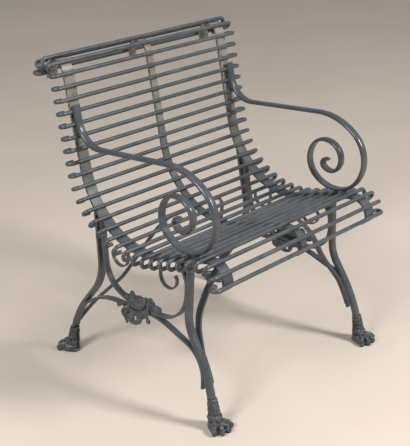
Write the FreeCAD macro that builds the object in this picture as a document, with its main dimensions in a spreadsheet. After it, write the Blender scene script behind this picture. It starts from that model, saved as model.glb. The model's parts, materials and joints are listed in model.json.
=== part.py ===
import FreeCAD
import Part
import math
import os
from FreeCAD import Placement, Rotation, Vector

# A garden armchair of iron rods and bars that stands on four cast lion paws, in millimetres.
# X is the width, Y runs from the front (negative) to the back, Z is up from the floor.
# The origin is on the floor in the middle of the chair. Left and right are the sitter's own.
# Thirty-two round rods form one seat and back. Each rod is bent round at both ends and lies
# on three flat straps, which follow one line in side view: a small roll at the front edge,
# a straight seat, a wide bend, a straight back and a roll at the top.

# Driving dimensions. Angles are in degrees, the rest in millimetres.
SIZES = {
    "fit_clearance": 0.1,
    # rods of the seat and back
    "slat_count": 32,
    "slat_length": 620.0,
    "slat_pitch": 29.5,
    "rod_diameter": 10.0,
    "hook_bend_radius": 10.0,
    "hook_tail": 12.0,
    # the line of the rods' axes, from the front edge to the top
    "seat_front_y": -241.6,
    "seat_front_height": 414.3,
    "front_curl_radius": 28.0,
    "front_curl_turn": 85.0,
    "front_roll_radius": 49.1,
    "front_roll_turn": 105.0,
    "seat_rise": 16.0,
    "seat_run": 145.7,
    "seat_sag_radius": 260.6,
    "seat_sag_turn": 13.7,
    "hip_radius": 193.7,
    "hip_turn": 80.1,
    "back_run": 231.3,
    "top_roll_radius": 39.0,
    "top_roll_turn": 199.0,
    # straps under the rods
    "strap_inset": 52.0,
    "side_strap_width": 30.0,
    "centre_strap_width": 20.0,
    "strap_thickness": 6.0,
    # arms
    "arm_inset": 46.0,
    "arm_width": 20.0,
    "arm_thickness": 8.0,
    "arm_rounding": 6.5,
    "arm_back_run": 38.8,
    "arm_elbow_radius": 68.1,
    "arm_slope": 5.6,
    "arm_rest_run": 223.0,
    "arm_front_radius": 157.1,
    "arm_front_turn": 43.9,
    "scroll_radius_1": 88.0,
    "scroll_radius_2": 91.5,
    "scroll_radius_3": 60.7,
    "scroll_radius_4": 51.9,
    "scroll_radius_5": 41.1,
    "scroll_radius_6": 32.3,
    "scroll_radius_7": 13.0,
    "scroll_radius_8": 11.0,
    # side frames, which lean out towards the floor
    "frame_inset": 53.0,
    "frame_level": 388.0,
    "frame_lean": 3.3,
    "leg_width": 21.0,
    "leg_thickness": 11.0,
    "leg_rounding": 7.0,
    "front_leg_y": -172.0,
    "front_leg_bend_height": 259.0,
    "front_knee_radius": 101.3,
    "front_knee_turn": 32.2,
    "front_shin_run": 46.0,
    "front_ankle_radius": 344.4,
    "rear_leg_y": 149.0,
    "rear_leg_tilt": 7.4,
    "rear_leg_bend_height": 293.0,
    "rear_knee_radius": 119.0,
    "rear_knee_turn": 45.5,
    "rear_shin_run": 53.1,
    "rear_ankle_radius": 244.1,
    "ankle_turn_most": 60.0,
    # two stretchers a side, which touch back to back behind the medallion
    "stretcher_width": 14.0,
    "stretcher_thickness": 6.0,
    "uncut_run": 300.0,
    "low_front_height": 86.0,
    "low_front_heading": 90.0,
    "low_front_run": 19.0,
    "low_front_radius": 80.0,
    "low_front_turn": 72.0,
    "low_rise_run": 60.0,
    "low_crown_radius": 221.6,
    "low_crown_turn": 22.5,
    "low_crown_run": 104.2,
    "low_rear_radius": 176.4,
    "low_rear_turn": 42.0,
    "up_hook_turn": 26.6,
    "up_hook_radius": 40.0,
    "up_leg_run": 20.0,
    "up_front_radius": 80.0,
    "up_front_turn": 77.0,
    "up_sag_radius": 200.0,
    "up_sag_turn": 15.0,
    "up_middle_run": 60.0,
    "up_rise_radius": 133.0,
    "up_rise_turn": 27.0,
    "up_rear_radius": 82.0,
    "up_rear_turn": 53.0,
    # medallions outside the stretchers
    "medallion_y": -14.0,
    "medallion_rise": 6.0,
    "medallion_tilt": 12.0,
    "medallion_thickness": 7.0,
    "shell_length": 84.0,
    "shell_height": 40.0,
    "shell_bulge": 9.0,
    # arches between the legs, up to the centre strap, with angles from the upright
    "arch_thickness": 6.0,
    "arch_step": 9.0,
    "front_arch_width": 16.0,
    "front_arch_past_leg": 4.0,
    "front_arch_foot_height": 100.0,
    "front_arch_foot_run": 57.0,
    "front_arch_foot_radius": 41.5,
    "front_arch_leaves": 273.0,
    "front_arch_slope": 20.0,
    "front_arch_side_run": 1.0,
    "front_arch_bend_radius": 622.0,
    "front_arch_bend_turn": 12.0,
    "front_arch_shoulder_radius": 360.0,
    "front_arch_shoulder_turn": 21.0,
    "front_arch_crown_radius": 25.0,
    "rear_arch_width": 8.0,
    "rear_arch_past_leg": -5.5,
    "rear_arch_foot_height": 88.0,
    "rear_arch_foot_run": 1.0,
    "rear_arch_foot_radius": 14.0,
    "rear_arch_leaves": 223.0,
    "rear_arch_slope": 36.0,
    "rear_arch_side_run": 125.0,
    "rear_arch_bend_radius": 60.0,
    "rear_arch_bend_turn": -12.0,
    "rear_arch_shoulder_radius": 100.0,
    "rear_arch_shoulder_turn": 30.0,
    "rear_arch_crown_radius": 30.0,
    # scrolls under the seat
    "curl_width": 8.5,
    "curl_thickness": 3.5,
    "front_curl_y": -73.0,
    "rear_curl_y": 37.0,
    "curl_drop": 37.0,
    "curl_outer_radius": 27.0,
    "curl_outer_turn": 180.0,
    "curl_inner_radius": 11.5,
    "curl_inner_turn": 62.0,
    # cast paws, with the foot a step ahead of the ankle
    "paw_height": 73.0,
    "paw_ring_radius": 12.5,
    "paw_ring_height": 6.0,
    "paw_step": 10.0,
    "paw_tilt": 12.0,
    "cuff_top_radius": 11.5,
    "cuff_bottom_radius": 15.0,
    "collar_radius": 18.0,
    "collar_height": 5.0,
    "instep_height": 27.0,
    "paw_width": 46.0,
    "paw_reach": 44.0,
    "toe_length": 28.0,
    "toe_width": 15.0,
    "toe_height": 22.0,
    "toe_fan": 26.0,
    "heel_reach": 19.0,
    "sole_thickness": 5.0,
    "sole_width": 32.0,
    "front_paw_splay": 5.0,
    "rear_paw_splay": 7.0,
}

# Halvings in a search for a contact, its reach, and the step between the points that it tests
HALVINGS = 26
SEARCH_REACH = 100.0
CONTACT_STEP = 5.0

SCROLL_ARCS = 8
TOES = (-1.5, -0.5, 0.5, 1.5)

# The medallion's lobes: along, up and radius, in a frame that turns with the shell
LOBES = (
    (20.0, 12.0, 21.0),
    (-16.0, 14.0, 20.0),
    (16.0, 26.0, 11.0),
    (12.0, 36.0, 8.0),
    (-13.0, 32.0, 6.0),
    (-34.0, 30.0, 8.0),
    (-50.0, 26.0, 12.0),
    (-64.0, 17.0, 10.0),
    (-77.0, 13.0, 9.0),
    (50.0, 4.0, 11.0),
    (65.0, 0.0, 7.0),
    (48.0, -17.0, 15.0),
    (43.0, -36.0, 9.0),
    (16.0, -8.0, 16.0),
    (11.0, -28.0, 12.0),
    (-12.0, -12.0, 13.0),
    (-30.0, -8.0, 9.0),
    (-34.0, -22.0, 8.0),
)
LOBE_HOLES = (
    (11.0, -23.0, 4.0),
    (42.0, 1.0, 3.5),
)
SHELL_SPOT = (2.0, 13.0)


def direction(heading):
    """Unit vector of a heading in degrees, as a pair."""
    return math.cos(math.radians(heading)), math.sin(math.radians(heading))


def on_left(point, heading, offset):
    """The point moved to the left of the heading."""
    across, along = direction(heading)
    return point[0] - along * offset, point[1] + across * offset


class Stretch:
    """A straight run (radius 0) or an arc that turns left (positive) or right."""

    def __init__(self, start, heading, length, radius=0.0, turn=0.0):
        self.start = start
        self.heading = heading
        self.radius = radius
        self.turn = turn
        self.length = math.radians(abs(turn)) * radius if radius else length

    def at(self, along):
        """Point and heading after a distance along the stretch."""
        if not self.radius:
            step = direction(self.heading)
            return (self.start[0] + step[0] * along, self.start[1] + step[1] * along), self.heading
        side = math.copysign(self.radius, self.turn)
        centre = on_left(self.start, self.heading, side)
        heading = self.heading + math.copysign(math.degrees(along / self.radius), self.turn)
        return on_left(centre, heading, -side), heading

    def gap_to(self, point):
        """Shortest distance from a point to this stretch."""
        end = self.at(self.length)[0]
        best = min(math.dist(point, self.start), math.dist(point, end))
        if not self.radius:
            step = direction(self.heading)
            reach = (point[0] - self.start[0]) * step[0] + (point[1] - self.start[1]) * step[1]
            if 0 < reach < self.length:
                foot = self.at(reach)[0]
                best = math.dist(point, foot)
            return best
        centre = on_left(self.start, self.heading, math.copysign(self.radius, self.turn))
        out = math.dist(point, centre)
        bearing = math.degrees(math.atan2(point[1] - centre[1], point[0] - centre[0]))
        first = self.heading - math.copysign(90, self.turn)
        swept = (bearing - first) * math.copysign(1, self.turn) % 360
        if swept <= abs(self.turn):
            best = abs(out - self.radius)
        return best


class Path:
    """The middle line of a bar in its own plane: straight runs and tangent arcs."""

    def __init__(self, start, heading, pieces):
        self.stretches = []
        point = start
        for piece in pieces:
            stretch = Stretch(point, heading, *piece)
            self.stretches.append(stretch)
            point, heading = stretch.at(stretch.length)
        self.length = sum(stretch.length for stretch in self.stretches)

    def at(self, along, offset=0.0):
        """Point and heading after a distance, moved to the left by the offset."""
        for stretch in self.stretches:
            if along <= stretch.length or stretch is self.stretches[-1]:
                point, heading = stretch.at(along)
                return on_left(point, heading, offset), heading
            along -= stretch.length

    def moved(self, across, up):
        """A copy of the path, shifted in its plane."""
        first = self.stretches[0]
        start = (first.start[0] + across, first.start[1] + up)
        pieces = [(s.length, s.radius, s.turn) for s in self.stretches]
        return Path(start, first.heading, pieces)

    def find(self, test, low, high):
        """The distance between low and high at which the test turns true, by halving."""
        for _ in range(HALVINGS):
            middle = (low + high) / 2
            if test(middle):
                high = middle
            else:
                low = middle
        return (low + high) / 2

    def cut(self, end):
        """A copy that ends after the given distance."""
        pieces = []
        left = end
        for stretch in self.stretches:
            part = min(stretch.length, left)
            if part > 0.001:
                turn = stretch.turn * part / stretch.length
                pieces.append((part, stretch.radius, turn))
            left -= part
        return Path(self.stretches[0].start, self.stretches[0].heading, pieces)

    def gap_to(self, point):
        """Shortest distance from a point to the line."""
        return min(stretch.gap_to(point) for stretch in self.stretches)

    def edges(self, offset, start, end):
        """Curves of the line moved to the left by the offset, between two end points."""
        curves = []
        for stretch in self.stretches:
            first = self.corner(stretch, 0.0, offset)
            last = self.corner(stretch, stretch.length, offset)
            if stretch is self.stretches[0]:
                first = start
            if stretch is self.stretches[-1]:
                last = end
            if stretch.radius:
                middle = self.corner(stretch, stretch.length / 2, offset)
                curves.append(Part.Arc(flat(first), flat(middle), flat(last)))
            else:
                curves.append(Part.LineSegment(flat(first), flat(last)))
        return curves

    @staticmethod
    def corner(stretch, along, offset):
        point, heading = stretch.at(along)
        return on_left(point, heading, offset)

    def outline(self, thickness, start_cut=90.0, end_cut=90.0):
        """Closed outline of a bar of this thickness. A cut of 90 degrees is square to the bar."""
        half = thickness / 2
        curves = []
        ends = []
        for offset in (half, -half):
            corners = []
            for along, cut in ((0.0, start_cut), (self.length, end_cut)):
                point, heading = self.at(along, offset)
                slide = offset / math.tan(math.radians(cut))
                step = direction(heading)
                corners.append((point[0] + step[0] * slide, point[1] + step[1] * slide))
            ends.append(corners)
        curves += self.edges(half, *ends[0])
        curves.append(Part.LineSegment(flat(ends[0][1]), flat(ends[1][1])))
        curves += self.edges(-half, *ends[1])
        curves.append(Part.LineSegment(flat(ends[1][0]), flat(ends[0][0])))
        return curves


def flat(point):
    """A sketch point from a pair."""
    return Vector(point[0], point[1], 0)


doc = FreeCAD.newDocument("garden_armchair")
sheet = doc.addObject("Spreadsheet::Sheet", "sizes")
for row, (alias, value) in enumerate(SIZES.items(), start=1):
    sheet.set(f"A{row}", alias)
    sheet.set(f"B{row}", str(value))
    sheet.setAlias(f"B{row}", alias)
doc.recompute()

pieces = []


def size(alias):
    """A driving dimension, as the sheet holds it."""
    return float(getattr(sheet, alias))


clear = size("fit_clearance")
rod_radius = size("rod_diameter") / 2
strap_thickness = size("strap_thickness")
strap_face = rod_radius + clear
strap_back = strap_face + strap_thickness


def keep(piece, name):
    """Names a finished sub-part and puts it on the list."""
    piece.Label = name
    pieces.append(piece)
    return piece


def origin_plane(body, role):
    """One of a body's own origin planes."""
    for feature in body.Origin.OriginFeatures:
        if feature.Role == role:
            return feature


def bar_body(name, curves, width, plane="YZ_Plane"):
    """A bar: its outline in side view, padded to both sides by half its width."""
    body = doc.addObject("PartDesign::Body", name)
    sketch = body.newObject("Sketcher::SketchObject", name + "_outline")
    sketch.AttachmentSupport = [(origin_plane(body, plane), "")]
    sketch.MapMode = "FlatFace"
    sketch.addGeometry(curves, False)
    pad = body.newObject("PartDesign::Pad", name + "_pad")
    pad.Profile = sketch
    pad.SideType = "Symmetric"
    pad.setExpression("Length", "sizes." + width)
    doc.recompute()
    return body, pad


def round_over(body, pad, path, side, thickness, width, rounding):
    """Rounds the two long edges on one side of a bar, which makes it half round."""
    names = []
    half_width = size(width) / 2
    reach = side * size(thickness) / 2
    for number, edge in enumerate(pad.Shape.Edges, start=1):
        middle = edge.valueAt((edge.FirstParameter + edge.LastParameter) / 2)
        if abs(abs(middle.x) - half_width) > 0.001:
            continue
        for stretch in path.stretches:
            spot = Path.corner(stretch, stretch.length / 2, reach)
            if math.dist(spot, (middle.y, middle.z)) < size(thickness) / 2:
                names.append(f"Edge{number}")
                break
    fillet = body.newObject("PartDesign::Fillet", body.Name + "_rounding")
    fillet.Base = (pad, names)
    fillet.setExpression("Radius", "sizes." + rounding)
    doc.recompute()
    return fillet


def set_in(body, side, inset):
    """Sets a piece this far in from the ends of the rods, on the left (1) or the right (-1)."""
    body.setExpression("Placement.Base.x", f"{side} * (sizes.slat_length / 2 - sizes.{inset})")


def lean_out(body, side):
    """Stands a side frame's piece in its leaning plane."""
    body.Placement = Placement(Vector(), Rotation(Vector(0, -side, 0), 1))
    set_in(body, side, "frame_inset")
    body.setExpression("Placement.Base.z", "sizes.frame_level")
    body.setExpression("Placement.Rotation.Angle", "sizes.frame_lean")


SIDES = (("left", 1), ("right", -1))
level = size("frame_level")


# The line of the rods' axes in side view, as (y, z), from under the front edge to the top
front_heading = size("front_roll_turn") - size("seat_rise")
curl_length = math.radians(size("front_curl_turn")) * size("front_curl_radius")
rods = Path((0.0, 0.0), front_heading + size("front_curl_turn"), (
    (0, size("front_curl_radius"), -size("front_curl_turn")),
    (0, size("front_roll_radius"), -size("front_roll_turn")),
    (size("seat_run"), 0, 0),
    (0, size("seat_sag_radius"), size("seat_sag_turn")),
    (0, size("hip_radius"), size("hip_turn")),
    (size("back_run"), 0, 0),
    (0, size("top_roll_radius"), -size("top_roll_turn")),
))
crest = rods.find(lambda along: rods.at(along)[1] < 0, curl_length, curl_length + rods.stretches[1].length)
crest_point = rods.at(crest)[0]
rods = rods.moved(size("seat_front_y") - crest_point[0], size("seat_front_height") - crest_point[1])
seat_start = curl_length + rods.stretches[1].length
seat_end = seat_start + sum(stretch.length for stretch in rods.stretches[2:5])


def strap_spot(y):
    """Where the back of the straps has this y, between the front roll and the top of the bend."""
    along = rods.find(lambda s: rods.at(s, -strap_back - clear)[0][0] > y, seat_start, seat_end)
    point, heading = rods.at(along, -strap_back - clear)
    return point, heading


def strap_path():
    """The middle line of the straps' thickness."""
    offset = strap_face + strap_thickness / 2
    stretches = []
    for stretch in rods.stretches:
        radius = stretch.radius
        if radius:
            radius += math.copysign(offset, stretch.turn)
        stretches.append((stretch.length, radius, stretch.turn))
    start, heading = rods.at(0, -offset)
    return Path(start, heading, stretches)


# Turns a half ring so that it runs from the top, round the outside, to the bottom
HALF_RING = Rotation(Vector(0, 0, 1), Vector(1, 0, 0), Vector(0, 1, 0), "XYZ")


def make_slat(number):
    """One rod with a half-circle bend and a short tail at each end."""
    name = f"slat_{number:02d}"
    straight = "sizes.slat_length / 2 - sizes.rod_diameter / 2 - sizes.hook_bend_radius"
    rod = doc.addObject("Part::Cylinder", name + "_rod")
    rod.setExpression("Radius", "sizes.rod_diameter / 2")
    rod.setExpression("Height", f"2 * ({straight})")
    rod.Placement = Placement(Vector(), Rotation(Vector(0, 1, 0), 90))
    rod.setExpression("Placement.Base.x", f"-({straight})")
    shapes = [rod]
    for end, sign in (("a", 1), ("b", -1)):
        bend = doc.addObject("Part::Torus", f"{name}_bend_{end}")
        bend.setExpression("Radius1", "sizes.hook_bend_radius")
        bend.setExpression("Radius2", "sizes.rod_diameter / 2")
        bend.Angle3 = 180
        upright = Rotation(Vector(0, 0, 1), 0 if sign > 0 else 180)
        bend.Placement = Placement(Vector(), upright.multiply(HALF_RING))
        bend.setExpression("Placement.Base.x", f"{sign} * ({straight})")
        bend.setExpression("Placement.Base.z", "-sizes.hook_bend_radius")
        tail = doc.addObject("Part::Cylinder", f"{name}_tail_{end}")
        tail.setExpression("Radius", "sizes.rod_diameter / 2")
        tail.setExpression("Height", "sizes.hook_tail")
        tail.Placement = Placement(Vector(), Rotation(Vector(0, 1, 0), -90 * sign))
        tail.setExpression("Placement.Base.x", f"{sign} * ({straight})")
        tail.setExpression("Placement.Base.z", "-2 * sizes.hook_bend_radius")
        shapes += [bend, tail]
    slat = doc.addObject("Part::MultiFuse", name)
    slat.Shapes = shapes
    point, heading = rods.at(curl_length + (number - 1) * size("slat_pitch"))
    slat.Placement = Placement(Vector(0, *point), Rotation(Vector(1, 0, 0), heading))
    keep(slat, name)


def make_straps():
    """Two side straps and a narrower one in the middle."""
    path = strap_path()
    outline = path.outline(strap_thickness)
    for name, side in (("side_strap_left", 1), ("side_strap_right", -1)):
        body, _ = bar_body(name, outline, "side_strap_width")
        set_in(body, side, "strap_inset")
        keep(body, name)
    body, _ = bar_body("centre_strap", outline, "centre_strap_width")
    keep(body, "centre_strap")


def arm_line(slide):
    """The arm's line when its upper end has slid down the back by this much from the top bend."""
    half = size("arm_thickness") / 2
    back_top = seat_end + size("back_run")
    start, heading = rods.at(back_top - slide, rod_radius + clear + half)
    heading += 180
    elbow_turn = heading - (180 - size("arm_slope"))
    runs = [
        (size("arm_back_run"), 0, 0),
        (0, size("arm_elbow_radius"), -elbow_turn),
        (size("arm_rest_run"), 0, 0),
        (0, size("arm_front_radius"), size("arm_front_turn")),
    ]
    for number in range(1, SCROLL_ARCS + 1):
        runs.append((0, size(f"scroll_radius_{number}"), 90.0))
    return Path(start, heading, runs)


def make_arms():
    """Half-round arms, each slid down the back until its scroll rests on the seat."""
    reach = rod_radius + clear + size("arm_thickness") / 2
    seat_rods = []
    for number in range(2, 16):
        seat_rods.append(rods.at(curl_length + (number - 1) * size("slat_pitch"))[0])

    def rests(slide):
        line = arm_line(slide)
        scroll = Path(line.stretches[3].start, line.stretches[3].heading,
                      [(s.length, s.radius, s.turn) for s in line.stretches[3:7]])
        return min(scroll.gap_to(rod) for rod in seat_rods) < reach

    slide = rods.find(rests, 0.0, size("back_run") * 0.8)
    line = arm_line(slide)
    for name, side in (("arm_left", 1), ("arm_right", -1)):
        body, pad = bar_body(name, line.outline(size("arm_thickness")), "arm_width")
        round_over(body, pad, line, -1, "arm_thickness", "arm_width", "arm_rounding")
        set_in(body, side, "arm_inset")
        keep(body, name)


def lean_drop(width, strap_heading):
    """How far a leaning bar ends under the strap, so that its upper corner stays clear of it."""
    corner = size(width) / 2 * math.sin(math.radians(size("frame_lean")))
    return corner / math.cos(math.radians(strap_heading))


def leg_line(y, tilt, bend_height, side, radius, turn, shin, ankle_radius):
    """A leg's line in the frame's plane. Side is 1 for a leg that sweeps to the back."""
    spot, strap_heading = strap_spot(y)
    top = (spot[0], spot[1] - lean_drop("leg_width", strap_heading))
    heading = 270 + tilt * -side
    runs = [
        ((top[1] - bend_height) / math.cos(math.radians(tilt)), 0, 0),
        (0, radius, side * turn),
        (shin, 0, 0),
        (0, ankle_radius, -side * size("ankle_turn_most")),
    ]
    line = Path(top, heading, runs)
    paw_top = size("paw_height") + clear
    end = line.find(lambda along: line.at(along)[0][1] < paw_top, line.length / 2, line.length)
    line = line.cut(end)
    start_cut = (strap_heading - heading) % 180
    end_cut = -line.at(line.length)[1] % 180
    return line, start_cut, end_cut


def make_leg(name, line, start_cut, end_cut, side, round_side):
    """A half-round leg from the strap to the top of its paw."""
    local = line.moved(0, -level)
    curves = local.outline(size("leg_thickness"), start_cut, end_cut)
    body, pad = bar_body(name, curves, "leg_width")
    round_over(body, pad, local, round_side, "leg_thickness", "leg_width", "leg_rounding")
    lean_out(body, side)
    keep(body, name)


front_leg = leg_line(
    size("front_leg_y"), 0.0, size("front_leg_bend_height"), -1, size("front_knee_radius"),
    size("front_knee_turn"), size("front_shin_run"), size("front_ankle_radius"))
rear_leg = leg_line(
    size("rear_leg_y"), size("rear_leg_tilt"), size("rear_leg_bend_height"), 1, size("rear_knee_radius"),
    size("rear_knee_turn"), size("rear_shin_run"), size("rear_ankle_radius"))


def leg_face(leg, height, offset):
    """The y of a leg's face at this height, with the offset to the left of its line."""
    line = leg[0]
    along = line.find(lambda s: line.at(s, offset)[0][1] < height, 0.0, line.length)
    point, heading = line.at(along, offset)
    return point[0], heading


def frame_x(height):
    """Half the distance between the leaning planes at this height."""
    drop = size("frame_level") - height
    return size("slat_length") / 2 - size("frame_inset") + drop * math.tan(math.radians(size("frame_lean")))


def lies_on(path, other, reach):
    """True when some point of the path is nearer to the other line than the reach."""
    steps = int(path.length / CONTACT_STEP)
    return any(other.gap_to(path.at(path.length * step / steps)[0]) < reach for step in range(steps + 1))


def passes(point, leg, reach):
    """True when a point is behind the front of a leg, counted from this far ahead of its line."""
    return point[0] > leg_face(leg, point[1], -reach)[0]


def stays_behind(path, leg, reach):
    """True when all of the path is behind a leg and farther from its line than the reach."""
    steps = int(path.length / CONTACT_STEP)
    for step in range(steps + 1):
        point = path.at(path.length * step / steps)[0]
        if not passes(point, leg, 0.0) or leg[0].gap_to(point) < reach:
            return False
    return True


def meets_strap(path, low, high):
    """The distance between low and high at which a stretcher comes up to the back of its strap."""
    def over(along):
        point = path.at(along)[0]
        spot, strap_heading = strap_spot(point[0])
        return point[1] > spot[1] - lean_drop("stretcher_width", strap_heading)

    return path.find(over, low, high)


def lower_line():
    """The lower stretcher: it lies on the front leg with its foot clear, and ends on the rear one."""
    reach = (size("leg_thickness") + size("stretcher_thickness")) / 2 + clear
    shape = Path((0.0, size("low_front_height")), size("low_front_heading"), (
        (size("low_front_run"), 0, 0),
        (0, size("low_front_radius"), -size("low_front_turn")),
        (size("low_rise_run"), 0, 0),
        (0, size("low_crown_radius"), -size("low_crown_turn")),
        (size("low_crown_run"), 0, 0),
        (0, size("low_rear_radius"), -size("low_rear_turn")),
        (size("uncut_run"), 0, 0),
    ))
    foot = shape.cut(size("low_front_run") + shape.stretches[1].length)
    knee = front_leg[0].at(front_leg[0].length / 2)[0][0]
    slide = shape.find(lambda y: stays_behind(foot.moved(y, 0), front_leg, reach),
                       knee - SEARCH_REACH, knee + SEARCH_REACH)
    line = shape.moved(slide, 0)
    end = line.find(lambda s: passes(line.at(s)[0], rear_leg, reach), line.length / 3, line.length)
    return line.cut(end)


def upper_line(lower):
    """The upper stretcher: it hangs from the strap, lies on the front leg and rests on the lower one."""
    beside = (size("leg_thickness") + size("stretcher_thickness")) / 2 + clear
    reach = size("stretcher_thickness") + clear
    crown = max(stretch.start[1] for stretch in lower.stretches)

    def shape(height):
        """The line when its run beside the leg ends at this height."""
        start = (leg_face(front_leg, height, beside)[0], height)
        rise = Path(start, 90.0, (
            (size("up_leg_run"), 0, 0),
            (0, size("up_hook_radius"), -size("up_hook_turn")),
            (size("uncut_run"), 0, 0),
        ))
        rise = rise.cut(meets_strap(rise, 0.0, rise.length))
        top, heading = rise.at(rise.length)
        down = [(part.length, part.radius, -part.turn) for part in reversed(rise.stretches)]
        return Path(top, heading + 180, down + [
            (0, size("up_front_radius"), size("up_front_turn")),
            (0, size("up_sag_radius"), size("up_sag_turn")),
            (size("up_middle_run"), 0, 0),
            (0, size("up_rise_radius"), size("up_rise_turn")),
            (0, size("up_rear_radius"), size("up_rear_turn")),
            (size("uncut_run"), 0, 0),
        ])

    height = lower.find(lambda z: not lies_on(shape(z), lower, reach), crown, crown + SEARCH_REACH)
    line = shape(height)
    return line.cut(meets_strap(line, line.length - size("uncut_run"), line.length))


def make_stretchers():
    """Two stretchers a side, back to back in the middle."""
    lower = lower_line()
    upper = upper_line(lower)
    cuts = []
    for along in (0.0, upper.length):
        point, heading = upper.at(along)
        cuts.append((strap_spot(point[0])[1] - heading) % 180)
    thickness = size("stretcher_thickness")
    for side_name, side in SIDES:
        curves = lower.moved(0, -level).outline(thickness)
        body, _ = bar_body("lower_stretcher_" + side_name, curves, "stretcher_width")
        lean_out(body, side)
        keep(body, "lower_stretcher_" + side_name)
        curves = upper.moved(0, -level).outline(thickness, *cuts)
        body, _ = bar_body("upper_stretcher_" + side_name, curves, "stretcher_width")
        lean_out(body, side)
        keep(body, "upper_stretcher_" + side_name)
    return lower


def disc(name, spot, radius, thickness):
    """A disc of a medallion, its axis across the chair."""
    shape = doc.addObject("Part::Cylinder", name)
    shape.Radius = radius
    shape.Height = thickness
    shape.Placement = Placement(Vector(0, spot[0], spot[1]), Rotation(Vector(0, 1, 0), 90))
    return shape


# Turns an ellipsoid's own axis across the chair, outwards, with its rounded half outside
SHELL_TURN = Rotation(Vector(0, 1, 0), Vector(0, 0, 1), Vector(1, 0, 0), "XYZ")


def make_medallions(height):
    """Openwork rosettes with a shell in their middle, fixed outside the two stretchers."""
    thickness = size("medallion_thickness")
    plate = []
    for number, (along, up, radius) in enumerate(LOBES):
        plate.append(disc(f"medallion_lobe_{number}", (along, up), radius, thickness))
    shell = doc.addObject("Part::Ellipsoid", "medallion_shell")
    shell.setExpression("Radius1", "sizes.shell_bulge")
    shell.setExpression("Radius2", "sizes.shell_length / 2")
    shell.setExpression("Radius3", "sizes.shell_height / 2")
    shell.Angle1 = 0
    shell.Placement = Placement(Vector(thickness, *SHELL_SPOT), SHELL_TURN)
    solid = doc.addObject("Part::MultiFuse", "medallion_solid")
    solid.Shapes = plate + [shell]
    holes = []
    for number, (along, up, radius) in enumerate(LOBE_HOLES):
        hole = disc(f"medallion_hole_{number}", (along, up), radius, 3 * thickness)
        hole.Placement.Base.x -= thickness
        holes.append(hole)
    drills = doc.addObject("Part::MultiFuse", "medallion_drills")
    drills.Shapes = holes
    left = doc.addObject("Part::Cut", "medallion_left")
    left.Base = solid
    left.Tool = drills
    tilt = Rotation(Vector(1, 0, 0), -size("medallion_tilt"))
    lean = Rotation(Vector(0, 1, 0), -size("frame_lean"))
    rise = height + size("medallion_rise") - level
    seat = Vector(size("stretcher_width") / 2 + clear, size("medallion_y"), rise)
    frame = Placement(Vector(frame_x(level), 0, level), lean)
    left.Placement = frame.multiply(Placement(seat, tilt))
    right = doc.addObject("Part::Mirroring", "medallion_right")
    right.Source = left
    right.Normal = Vector(1, 0, 0)
    keep(left, "medallion_left")
    keep(right, "medallion_right")


def arch_line(name, crown_height):
    """Half of an arch in front view, from its foot beside a leg to the middle of the chair."""
    lean = size("frame_lean")
    slope = size(name + "_slope")
    bend = size(name + "_bend_turn")
    shoulder = size(name + "_shoulder_turn")
    foot_height = size(name + "_foot_height")
    beside = size("leg_width") / 2 + clear + size("arch_thickness") / 2
    start = (frame_x(foot_height) - beside / math.cos(math.radians(lean)), foot_height)

    def half(run):
        """The line with this much of a straight run over the bend, and none across the middle."""
        return [
            (size(name + "_foot_run"), 0, 0),
            (0, size(name + "_foot_radius"), slope - lean),
            (size(name + "_side_run"), 0, 0),
            (0, size(name + "_bend_radius"), bend),
            (run, 0, 0),
            (0, size(name + "_shoulder_radius"), shoulder),
            (0, size(name + "_crown_radius"), 90 - slope - bend - shoulder),
        ]

    low = Path(start, 90 + lean, half(0.0))
    rise = crown_height - low.at(low.length)[0][1]
    parts = half(rise / math.cos(math.radians(slope + bend)))
    top = Path(start, 90 + lean, parts)
    parts.append((top.at(top.length)[0][0], 0, 0))
    return Path(start, 90 + lean, parts)


def make_arch(name, leg, side):
    """A flat bar that follows the legs in side view, leaves them on a tangent and crosses under the seat."""
    half_leg = size("leg_thickness") / 2
    half_width = size(name + "_width") / 2
    behind = side * size(name + "_past_leg")
    leaves = size(name + "_leaves")

    def depth(height):
        low = min(height, leaves)
        face, heading = leg_face(leg, low, half_leg * side)
        return face + behind + (height - low) / math.tan(math.radians(heading))

    def ceiling(height):
        return min(strap_spot(depth(height) + reach)[0][1] for reach in (-half_width, half_width))

    crown = rods.find(lambda height: height > ceiling(height), leaves, ceiling(leaves))
    line = arch_line(name, crown - clear - size("arch_thickness") / 2)
    steps = int(line.length / size("arch_step"))
    half = []
    for step in range(steps + 1):
        x, z = line.at(line.length * step / steps)[0]
        half.append(Vector(x, depth(z), z))
    other = [Vector(-spot.x, spot.y, spot.z) for spot in reversed(half[:-1])]
    spine = Part.BSplineCurve()
    spine.interpolate(half + other)
    edge = spine.toShape()
    along = edge.tangentAt(edge.FirstParameter)
    thick = along.cross(Vector(0, 1, 0)).normalize() * (size("arch_thickness") / 2)
    wide = Vector(0, half_width, 0)
    corners = [half[0] + thick + wide, half[0] + thick - wide, half[0] - thick - wide, half[0] - thick + wide]
    sweep = Part.BRepOffsetAPI.MakePipeShell(Part.Wire(edge))
    sweep.setBiNormalMode(Vector(0, 1, 0))
    sweep.add(Part.makePolygon(corners + corners[:1]))
    sweep.build()
    sweep.makeSolid()
    arch = doc.addObject("Part::Feature", name)
    arch.Shape = sweep.shape()
    keep(arch, name)


def make_curl(name, y, bend, side):
    """A thin scroll that hangs under a side strap. It bends to the front (-1) or the back (1)."""
    top, strap_heading = strap_spot(y)
    line = Path(top, 270.0, (
        (size("curl_drop"), 0, 0),
        (0, size("curl_outer_radius"), bend * size("curl_outer_turn")),
        (0, size("curl_inner_radius"), bend * size("curl_inner_turn")),
    ))
    curves = line.outline(size("curl_thickness"), (strap_heading - 270) % 180)
    body, _ = bar_body(name, curves, "curl_width")
    set_in(body, side, "strap_inset")
    keep(body, name)


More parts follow.
